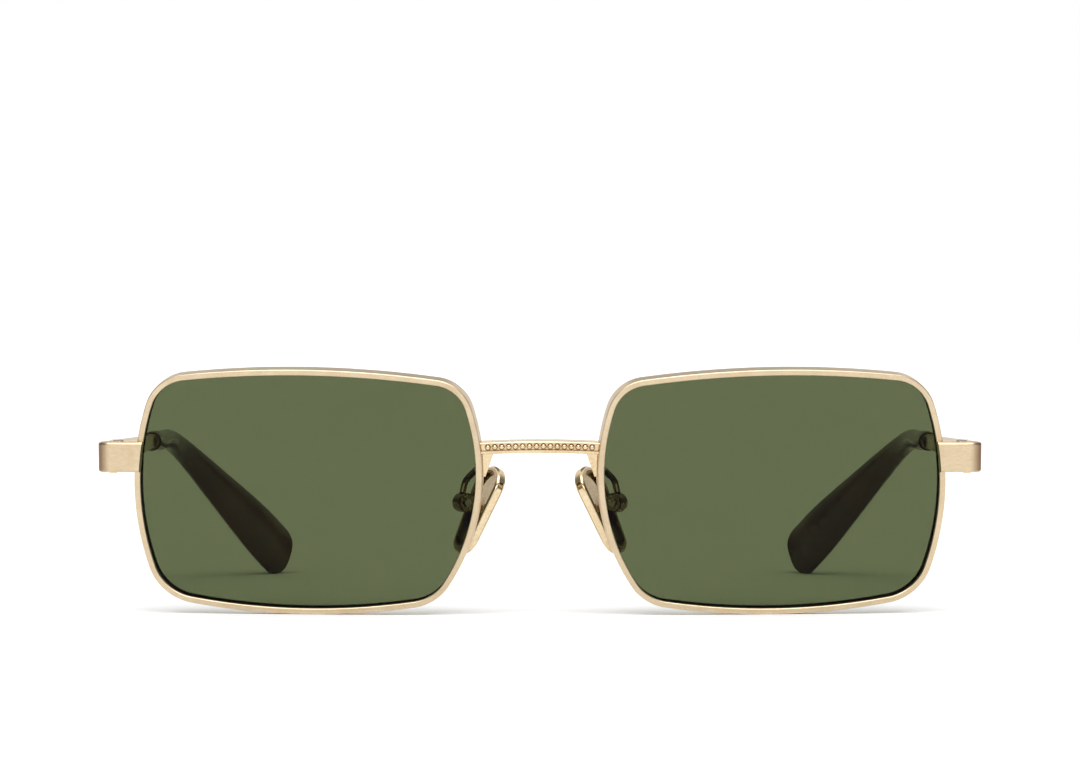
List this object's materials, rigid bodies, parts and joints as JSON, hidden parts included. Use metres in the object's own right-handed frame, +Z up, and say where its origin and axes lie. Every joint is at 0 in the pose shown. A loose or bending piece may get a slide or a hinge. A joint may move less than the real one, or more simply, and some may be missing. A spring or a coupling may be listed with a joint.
{
  "type": "rectangular metal sunglasses",
  "caption": "Rectangular metal sunglasses with green lenses, a beaded bridge, adjustable metal nose pads and folding temples with dark paddle tips.",
  "frame": {"origin": "on the table below the middle of the open sunglasses: middle of the width, half-way between the front and the ends of the temple tips", "axes": "+X to the wearer's left, +Y from the front back along the open temples, +Z up from the table"},
  "size_m": [0.1364, 0.1387, 0.0383],
  "materials": {
    "gold": "pale champagne gold plate, finely brushed",
    "polished_gold": "pale gold plate, polished",
    "nose_pad": "pale gold plate, polished",
    "screw": "gold-plated screw, slotted head",
    "lens": "dark olive-green solid tint, polished",
    "tip": "very dark brown acetate, polished"
  },
  "bodies": {
    "front": {"bridge": "gold", "left_bridge_gusset": "polished_gold", "left_eyewire": "gold", "left_lens": "lens", "left_end_piece": "gold", "left_rim_lock_upper": "gold", "left_rim_lock_lower": "gold", "left_rim_lock_screw": "screw", "left_front_hinge": "gold", "left_hinge_screw": "screw", "left_pad_arm": "polished_gold", "left_pad_box": "polished_gold", "left_pad_screw": "screw", "right_bridge_gusset": "polished_gold", "right_eyewire": "gold", "right_lens": "lens", "right_end_piece": "gold", "right_rim_lock_upper": "gold", "right_rim_lock_lower": "gold", "right_rim_lock_screw": "screw", "right_front_hinge": "gold", "right_hinge_screw": "screw", "right_pad_arm": "polished_gold", "right_pad_box": "polished_gold", "right_pad_screw": "screw"},
    "left_temple": {"left_temple_hinge": "gold", "left_temple_arm": "gold", "left_collar": "polished_gold", "left_temple_tip": "tip"},
    "left_pad": {"left_nose_pad": "nose_pad"},
    "right_temple": {"right_temple_hinge": "gold", "right_temple_arm": "gold", "right_collar": "polished_gold", "right_temple_tip": "tip"},
    "right_pad": {"right_nose_pad": "nose_pad"}
  },
  "joints": [
    {"name": "left_temple_fold", "type": "hinge", "parent": "front", "child": "left_temple", "pos_m": [0.06555, -0.0551, 0.02435], "axis": [0, -0.1908, 0.9816], "range_deg": [0, 88]},
    {"name": "right_temple_fold", "type": "hinge", "parent": "front", "child": "right_temple", "pos_m": [-0.06555, -0.0551, 0.02435], "axis": [0, 0.1908, -0.9816], "range_deg": [0, 84]},
    {"name": "left_pad_rock", "type": "hinge", "parent": "front", "child": "left_pad", "pos_m": [0.01176, -0.05895, 0.01732], "axis": [0.5, 0.866, 0], "range_deg": [-8, 8]},
    {"name": "right_pad_rock", "type": "hinge", "parent": "front", "child": "right_pad", "pos_m": [-0.01176, -0.05895, 0.01732], "axis": [0.5, -0.866, 0], "range_deg": [-8, 8]}
  ]
}
